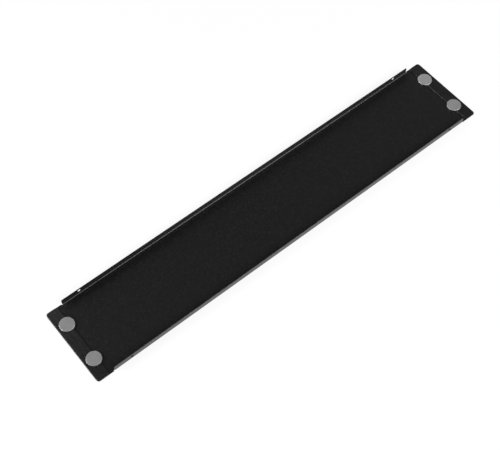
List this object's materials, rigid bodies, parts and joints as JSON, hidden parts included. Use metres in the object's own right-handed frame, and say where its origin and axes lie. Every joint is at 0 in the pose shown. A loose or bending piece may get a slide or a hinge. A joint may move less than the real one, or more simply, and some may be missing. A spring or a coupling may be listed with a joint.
{
  "type": "rack blanking panel",
  "caption": "Flat folded steel cover for unused height in an equipment rack, with lips along its long edges, hemmed ends and disc magnets that hold it to the rails.",
  "frame": {"origin": "centre of the front face, which the panel lies on", "axes": "+X along the panel's length, +Y across its height in the rack, +Z out of its back, the way the lips and magnets stand"},
  "size_m": [0.4826, 0.087, 0.0079],
  "materials": {
    "powder_coat": "fine satin black powder coat",
    "nickel_plating": "satin nickel plating"
  },
  "bodies": {
    "root": {"panel": "powder_coat", "magnet_near_left": "nickel_plating", "magnet_near_right": "nickel_plating", "magnet_far_left": "nickel_plating", "magnet_far_right": "nickel_plating"}
  },
  "joints": []
}
